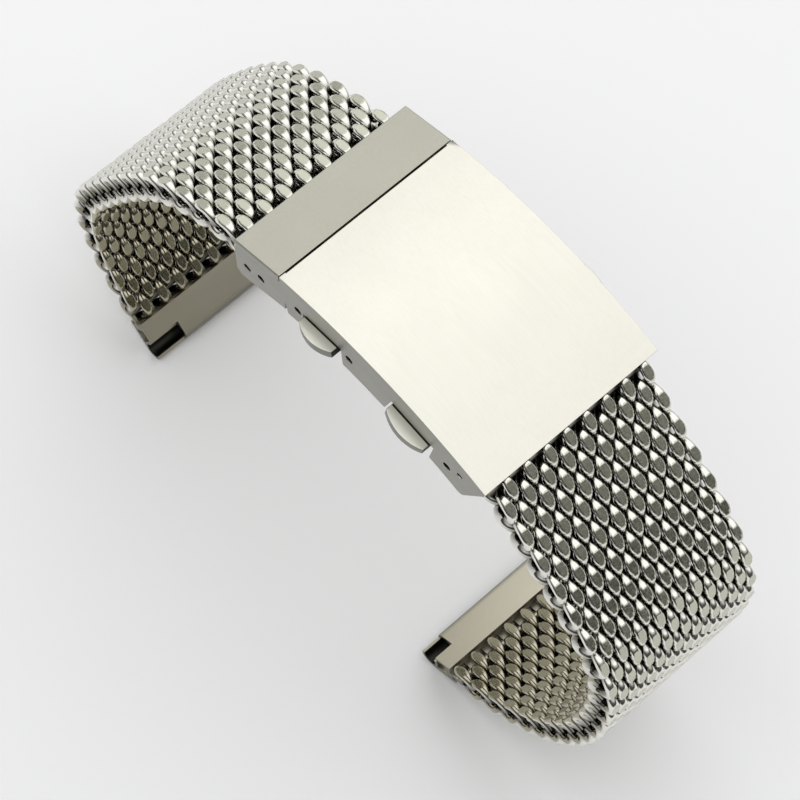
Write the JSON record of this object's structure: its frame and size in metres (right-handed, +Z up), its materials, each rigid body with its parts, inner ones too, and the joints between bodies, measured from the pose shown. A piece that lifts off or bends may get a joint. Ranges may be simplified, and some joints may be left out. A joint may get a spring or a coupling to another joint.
{
  "type": "milanese mesh watch bracelet",
  "caption": "Milanese mesh watch bracelet with a folding push-button clasp, closed, with spring-bar lug ends.",
  "frame": {"origin": "middle of the bracelet's box, on the surface that both lug ends stand on", "axes": "+X from strap A past the clasp to strap B, +Y across the band to the edge away from the viewer, +Z up toward the clasp's top"},
  "size_m": [0.0822, 0.025, 0.0647],
  "materials": {
    "polished_steel": "fine lengthwise brush, bright",
    "satin_steel": "satin",
    "wire_steel": "polished flats on round wire",
    "pin_steel": "drawn"
  },
  "bodies": {
    "clasp_cover": {"cover": "polished_steel", "end_plate": "satin_steel", "hinge_pin": "pin_steel", "catch_studs": "pin_steel", "strap_bar": "pin_steel"},
    "upper_blade": {"fold_link": "satin_steel", "spring_1_near": "pin_steel", "spring_1_far": "pin_steel"},
    "lower_blade": {"lower_blade": "satin_steel", "fold_pin": "pin_steel", "spring_2_near": "pin_steel", "spring_2_far": "pin_steel"},
    "button_1_near": {"button_1_near": "polished_steel"},
    "button_1_far": {"button_1_far": "polished_steel"},
    "button_2_near": {"button_2_near": "polished_steel"},
    "button_2_far": {"button_2_far": "polished_steel"},
    "end_a": {"band_end_a": "satin_steel"},
    "stretch_a_1": {"mesh_a_1": "wire_steel"},
    "stretch_a_2": {"mesh_a_2": "wire_steel"},
    "stretch_a_3": {"mesh_a_3": "wire_steel"},
    "stretch_a_4": {"mesh_a_4": "wire_steel"},
    "stretch_a_5": {"mesh_a_5": "wire_steel"},
    "stretch_a_6": {"mesh_a_6": "wire_steel"},
    "lug_a": {"lug_a": "satin_steel"},
    "stretch_b_1": {"mesh_b_1": "wire_steel"},
    "stretch_b_2": {"mesh_b_2": "wire_steel"},
    "stretch_b_3": {"mesh_b_3": "wire_steel"},
    "stretch_b_4": {"mesh_b_4": "wire_steel"},
    "stretch_b_5": {"mesh_b_5": "wire_steel"},
    "stretch_b_6": {"mesh_b_6": "wire_steel"},
    "stretch_b_7": {"mesh_b_7": "wire_steel"},
    "lug_b": {"lug_b": "satin_steel"}
  },
  "joints": [
    {"name": "clasp_fold", "type": "hinge", "parent": "clasp_cover", "child": "upper_blade", "pos_m": [0.01448, 0, 0.06059], "axis": [0, -1, 0], "range_deg": [0, 160]},
    {"name": "blade_fold", "type": "hinge", "parent": "upper_blade", "child": "lower_blade", "pos_m": [-0.00995, 0, 0.05765], "axis": [0, -1, 0], "range_deg": [-160, 0]},
    {"name": "press_1_near", "type": "slide", "parent": "upper_blade", "child": "button_1_near", "axis": [0, 1, 0], "range_m": [0, 0.0008], "stiffness_N_per_m": 600, "springref_m": -0.0003, "deforming": ["spring_1_near"]},
    {"name": "press_1_far", "type": "slide", "parent": "upper_blade", "child": "button_1_far", "axis": [0, -1, 0], "range_m": [0, 0.0008], "stiffness_N_per_m": 600, "springref_m": -0.0003, "deforming": ["spring_1_far"]},
    {"name": "press_2_near", "type": "slide", "parent": "lower_blade", "child": "button_2_near", "axis": [0, 1, 0], "range_m": [0, 0.0008], "stiffness_N_per_m": 600, "springref_m": -0.0003, "deforming": ["spring_2_near"]},
    {"name": "press_2_far", "type": "slide", "parent": "lower_blade", "child": "button_2_far", "axis": [0, -1, 0], "range_m": [0, 0.0008], "stiffness_N_per_m": 600, "springref_m": -0.0003, "deforming": ["spring_2_far"]},
    {"name": "strap_a_hinge", "type": "hinge", "parent": "clasp_cover", "child": "end_a", "pos_m": [-0.01323, 0, 0.05645], "axis": [0, -1, 0], "range_deg": [-12, 20]},
    {"name": "rod_a_hinge", "type": "hinge", "parent": "end_a", "child": "stretch_a_1", "pos_m": [-0.01598, 0, 0.05525], "axis": [0, -1, 0], "range_deg": [-12, 12]},
    {"name": "flex_a_1", "type": "hinge", "parent": "stretch_a_1", "child": "stretch_a_2", "pos_m": [-0.0241, 0, 0.05055], "axis": [0, -1, 0], "range_deg": [-10, 8.5]},
    {"name": "flex_a_2", "type": "hinge", "parent": "stretch_a_2", "child": "stretch_a_3", "pos_m": [-0.03042, 0, 0.04302], "axis": [0, -1, 0], "range_deg": [-10, 8.5]},
    {"name": "flex_a_3", "type": "hinge", "parent": "stretch_a_3", "child": "stretch_a_4", "pos_m": [-0.03483, 0, 0.03416], "axis": [0, -1, 0], "range_deg": [-10, 10]},
    {"name": "flex_a_4", "type": "hinge", "parent": "stretch_a_4", "child": "stretch_a_5", "pos_m": [-0.03857, 0, 0.025], "axis": [0, -1, 0], "range_deg": [-10, 4.5]},
    {"name": "flex_a_5", "type": "hinge", "parent": "stretch_a_5", "child": "stretch_a_6", "pos_m": [-0.03798, 0, 0.01371], "axis": [0, -1, 0], "range_deg": [-10, 4.5]},
    {"name": "lug_a_hinge", "type": "hinge", "parent": "stretch_a_6", "child": "lug_a", "pos_m": [-0.03146, 0, 0.00491], "axis": [0, -1, 0], "range_deg": [-12, 12]},
    {"name": "rod_b_hinge", "type": "hinge", "parent": "lower_blade", "child": "stretch_b_1", "pos_m": [0.01888, 0, 0.06058], "axis": [0, 1, 0], "range_deg": [-12, 15]},
    {"name": "flex_b_1", "type": "hinge", "parent": "stretch_b_1", "child": "stretch_b_2", "pos_m": [0.02788, 0, 0.05416], "axis": [0, 1, 0], "range_deg": [-10, 10]},
    {"name": "flex_b_2", "type": "hinge", "parent": "stretch_b_2", "child": "stretch_b_3", "pos_m": [0.03538, 0, 0.04771], "axis": [0, 1, 0], "range_deg": [-10, 3.5]},
    {"name": "flex_b_3", "type": "hinge", "parent": "stretch_b_3", "child": "stretch_b_4", "pos_m": [0.03914, 0, 0.03875], "axis": [0, 1, 0], "range_deg": [-10, 3.5]},
    {"name": "flex_b_4", "type": "hinge", "parent": "stretch_b_4", "child": "stretch_b_5", "pos_m": [0.03905, 0, 0.02887], "axis": [0, 1, 0], "range_deg": [-10, 10]},
    {"name": "flex_b_5", "type": "hinge", "parent": "stretch_b_5", "child": "stretch_b_6", "pos_m": [0.03663, 0, 0.0193], "axis": [0, 1, 0], "range_deg": [-10, 10]},
    {"name": "flex_b_6", "type": "hinge", "parent": "stretch_b_6", "child": "stretch_b_7", "pos_m": [0.03181, 0, 0.01069], "axis": [0, 1, 0], "range_deg": [-10, 9.5]},
    {"name": "lug_b_hinge", "type": "hinge", "parent": "stretch_b_7", "child": "lug_b", "pos_m": [0.02493, 0, 0.00434], "axis": [0, 1, 0], "range_deg": [-12, 12]}
  ],
  "couplings": [
    {"joint": "blade_fold", "follows": "clasp_fold", "ratio": -1}
  ]
}
